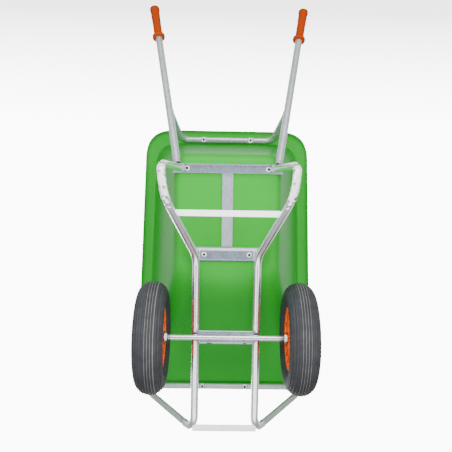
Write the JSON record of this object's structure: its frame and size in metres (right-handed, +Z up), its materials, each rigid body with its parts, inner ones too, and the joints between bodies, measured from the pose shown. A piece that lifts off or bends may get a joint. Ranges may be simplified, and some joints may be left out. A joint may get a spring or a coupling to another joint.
{
  "type": "wheelbarrow",
  "caption": "Two-wheel wheelbarrow with a deep plastic tray, a bent zinc-plated tube frame, air-tyred wheels on a fixed axle, rest feet and plastic grips.",
  "frame": {"origin": "on the ground, under the middle of the whole barrow's box", "axes": "+Z up, +Y back towards the handles, +X to the left hand of a person at the handles"},
  "size_m": [0.739, 1.7016, 0.6051],
  "materials": {
    "tray_green": "satin moulded polypropylene",
    "zinc": "bright zinc-plated tube and sheet with a faint spangle",
    "grip_orange": "moulded soft plastic",
    "rim_orange": "moulded plastic",
    "tyre_rubber": "dull grey-black rubber with a ribbed tread",
    "tube_rubber": "smooth black rubber",
    "black_plastic": "black nylon",
    "white_plastic": "white nylon",
    "fastener": "bright zinc-plated"
  },
  "bodies": {
    "frame": {"tray": "tray_green", "rear_crossmember": "zinc", "centre_channel": "zinc", "front_tray_bracket": "zinc", "axle_bracket": "zinc", "leg_brace": "zinc", "nose_bar": "zinc", "rear_rim_bar": "zinc", "front_hoop": "zinc", "axle": "zinc", "leg_tube_left": "zinc", "foot_shoe_left": "zinc", "handle_tube_left": "zinc", "grip_left": "grip_orange", "axle_collar_left": "white_plastic", "axle_washer_left": "fastener", "split_pin_left": "fastener", "leg_tube_right": "zinc", "foot_shoe_right": "zinc", "handle_tube_right": "zinc", "grip_right": "grip_orange", "axle_collar_right": "white_plastic", "axle_washer_right": "fastener", "split_pin_right": "fastener", "tray_bolt_rear_rim_left": "fastener", "tray_nut_rear_rim_left": "fastener", "tray_bolt_rear_rim_right": "fastener", "tray_nut_rear_rim_right": "fastener", "tray_bolt_crossmember_left": "fastener", "tray_nut_crossmember_left": "fastener", "tray_bolt_crossmember_right": "fastener", "tray_nut_crossmember_right": "fastener", "tray_bolt_bracket_left": "fastener", "tray_nut_bracket_left": "fastener", "tray_bolt_bracket_right": "fastener", "tray_nut_bracket_right": "fastener", "tray_bolt_front_rim_left": "fastener", "tray_nut_front_rim_left": "fastener", "tray_bolt_front_rim_right": "fastener", "tray_nut_front_rim_right": "fastener"},
    "left_wheel": {"tyre_left": "tyre_rubber", "inner_tube_left": "tube_rubber", "rim_left": "rim_orange", "bush_outer_left": "black_plastic", "bush_inner_left": "black_plastic", "valve_left": "tube_rubber"},
    "right_wheel": {"tyre_right": "tyre_rubber", "inner_tube_right": "tube_rubber", "rim_right": "rim_orange", "bush_outer_right": "black_plastic", "bush_inner_right": "black_plastic", "valve_right": "tube_rubber"}
  },
  "joints": [
    {"name": "left_wheel_spin", "type": "hinge", "parent": "frame", "child": "left_wheel", "pos_m": [0.263, -0.48678, 0.2], "axis": [1, 0, 0], "continuous": true},
    {"name": "right_wheel_spin", "type": "hinge", "parent": "frame", "child": "right_wheel", "pos_m": [-0.263, -0.48678, 0.2], "axis": [1, 0, 0], "continuous": true}
  ]
}
